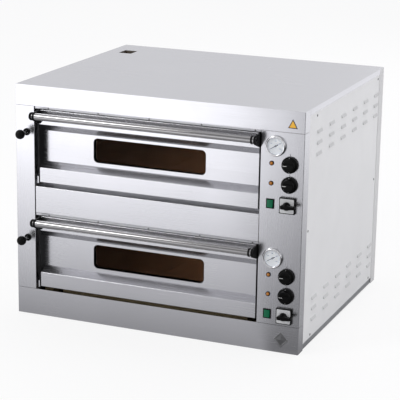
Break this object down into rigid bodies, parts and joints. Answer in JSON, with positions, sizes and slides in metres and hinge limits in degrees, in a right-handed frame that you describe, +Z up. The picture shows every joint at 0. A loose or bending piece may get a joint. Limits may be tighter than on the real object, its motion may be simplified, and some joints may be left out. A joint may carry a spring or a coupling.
{
  "type": "pizza oven",
  "caption": "Electric countertop deck oven for pizza, with drop-down windowed doors, thermostat knobs, dial thermometers, switches and steam dampers.",
  "frame": {"origin": "middle of the flat underside that the oven stands on", "axes": "+Z up, the doors face -Y, +X runs from the steam dampers towards the control panel"},
  "size_m": [0.961, 0.895, 0.75],
  "materials": {
    "brushed_stainless": "brushed stainless sheet, fine grain, soft gloss",
    "painted_grey": "light grey satin paint",
    "galvanised_steel": "galvanised sheet, matt",
    "oven_liner_steel": "heat-tinted aluminised steel",
    "handle_steel": "satin polished tube",
    "black_bakelite": "black heat-proof moulding, satin",
    "black_enamel": "black paint, satin",
    "chromed_ring": "polished",
    "dial_white": "matt white print",
    "needle_black": "matt black",
    "clear_lens": "clear",
    "switch_grey": "grey moulded plastic",
    "switch_green": "translucent green, gloss",
    "pilot_amber": "translucent amber lens",
    "hearth_stone": "porous refractory stone",
    "element_sheath": "oxidised metal sheath",
    "lamp_glass": "clear pressed glass",
    "door_glass": "dark tempered glass",
    "seal_silicone": "black silicone",
    "mineral_wool": "mineral wool blanket",
    "damper_steel": "drawn steel rod",
    "screw_steel": "zinc plated",
    "emblem_enamel": "plain faceted badge",
    "sign_yellow": "printed film",
    "gland_nylon": "nylon",
    "terminal_ceramic": "unglazed",
    "thermostat_body": "phenolic housing"
  },
  "bodies": {
    "cabinet": {"base_front_panel": "brushed_stainless", "top_front_fascia": "brushed_stainless", "left_front_post": "brushed_stainless", "middle_front_panel": "brushed_stainless", "top_cover": "brushed_stainless", "control_panel": "brushed_stainless", "door_lintels": "brushed_stainless", "left_side_panel": "painted_grey", "right_side_panel": "painted_grey", "back_panel": "painted_grey", "base_tray": "galvanised_steel", "deck_rails": "galvanised_steel", "hinge_brackets": "galvanised_steel", "lower_chamber": "oven_liner_steel", "upper_chamber": "oven_liner_steel", "steam_duct": "oven_liner_steel", "rocker_frames": "black_bakelite", "thermometer_cases": "chromed_ring", "thermometer_dials": "dial_white", "thermometer_lenses": "clear_lens", "main_switches": "switch_grey", "pilot_lamps": "pilot_amber", "hearth_stones": "hearth_stone", "heating_elements": "element_sheath", "oven_lamps": "lamp_glass", "lower_door_seal": "seal_silicone", "upper_door_seal": "seal_silicone", "insulation_blankets": "mineral_wool", "panel_screws": "screw_steel", "emblem_plate": "emblem_enamel", "triangle_sign": "sign_yellow", "cable_gland": "gland_nylon", "terminal_block": "terminal_ceramic", "thermostat_bodies": "thermostat_body"},
    "lower_door": {"lower_door_skin": "brushed_stainless", "lower_door_inner_panel": "oven_liner_steel", "lower_window_panes": "door_glass", "lower_door_ends": "black_enamel", "lower_handle_tube": "handle_steel", "lower_handle_brackets": "black_bakelite"},
    "lower_top_heat_dial": {"lower_top_heat_knob": "black_bakelite"},
    "lower_bottom_heat_dial": {"lower_bottom_heat_knob": "black_bakelite"},
    "lower_gauge_pointer": {"lower_thermometer_needle": "needle_black"},
    "lower_lighting_rocker": {"lower_power_rocker": "switch_green"},
    "lower_switch_handle": {"lower_main_switch_lever": "black_bakelite"},
    "lower_damper": {"lower_damper_rod": "damper_steel", "lower_damper_knob": "black_bakelite"},
    "upper_door": {"upper_door_skin": "brushed_stainless", "upper_door_inner_panel": "oven_liner_steel", "upper_window_panes": "door_glass", "upper_door_ends": "black_enamel", "upper_handle_tube": "handle_steel", "upper_handle_brackets": "black_bakelite"},
    "upper_top_heat_dial": {"upper_top_heat_knob": "black_bakelite"},
    "upper_bottom_heat_dial": {"upper_bottom_heat_knob": "black_bakelite"},
    "upper_gauge_pointer": {"upper_thermometer_needle": "needle_black"},
    "upper_lighting_rocker": {"upper_power_rocker": "switch_green"},
    "upper_switch_handle": {"upper_main_switch_lever": "black_bakelite"},
    "upper_damper": {"upper_damper_rod": "damper_steel", "upper_damper_knob": "black_bakelite"}
  },
  "joints": [
    {"name": "lower_door_hinge", "type": "hinge", "parent": "cabinet", "child": "lower_door", "pos_m": [0, -0.3905, 0.1055], "axis": [1, 0, 0], "range_deg": [0, 90]},
    {"name": "lower_top_heat_turn", "type": "hinge", "parent": "cabinet", "child": "lower_top_heat_dial", "pos_m": [0.434, -0.4075, 0.2435], "axis": [0, 1, 0], "range_deg": [0, 300]},
    {"name": "lower_bottom_heat_turn", "type": "hinge", "parent": "cabinet", "child": "lower_bottom_heat_dial", "pos_m": [0.434, -0.4075, 0.1825], "axis": [0, 1, 0], "range_deg": [0, 300]},
    {"name": "lower_gauge_swing", "type": "hinge", "parent": "cabinet", "child": "lower_gauge_pointer", "pos_m": [0.3885, -0.4075, 0.2965], "axis": [0, 1, 0], "range_deg": [0, 240]},
    {"name": "lower_rocker_tip", "type": "hinge", "parent": "cabinet", "child": "lower_lighting_rocker", "pos_m": [0.3755, -0.4075, 0.12], "axis": [1, 0, 0], "range_deg": [0, 14]},
    {"name": "lower_switch_turn", "type": "hinge", "parent": "cabinet", "child": "lower_switch_handle", "pos_m": [0.431, -0.4075, 0.12], "axis": [0, 1, 0], "range_deg": [0, 90]},
    {"name": "lower_damper_pull", "type": "slide", "parent": "cabinet", "child": "lower_damper", "axis": [0, -1, 0], "range_m": [0, 0.046]},
    {"name": "upper_door_hinge", "type": "hinge", "parent": "cabinet", "child": "upper_door", "pos_m": [0, -0.3905, 0.45], "axis": [1, 0, 0], "range_deg": [0, 90]},
    {"name": "upper_top_heat_turn", "type": "hinge", "parent": "cabinet", "child": "upper_top_heat_dial", "pos_m": [0.434, -0.4075, 0.588], "axis": [0, 1, 0], "range_deg": [0, 300]},
    {"name": "upper_bottom_heat_turn", "type": "hinge", "parent": "cabinet", "child": "upper_bottom_heat_dial", "pos_m": [0.434, -0.4075, 0.527], "axis": [0, 1, 0], "range_deg": [0, 300]},
    {"name": "upper_gauge_swing", "type": "hinge", "parent": "cabinet", "child": "upper_gauge_pointer", "pos_m": [0.3885, -0.4075, 0.641], "axis": [0, 1, 0], "range_deg": [0, 240]},
    {"name": "upper_rocker_tip", "type": "hinge", "parent": "cabinet", "child": "upper_lighting_rocker", "pos_m": [0.3755, -0.4075, 0.4645], "axis": [1, 0, 0], "range_deg": [0, 14]},
    {"name": "upper_switch_turn", "type": "hinge", "parent": "cabinet", "child": "upper_switch_handle", "pos_m": [0.431, -0.4075, 0.4645], "axis": [0, 1, 0], "range_deg": [0, 90]},
    {"name": "upper_damper_pull", "type": "slide", "parent": "cabinet", "child": "upper_damper", "axis": [0, -1, 0], "range_m": [0, 0.046]}
  ]
}
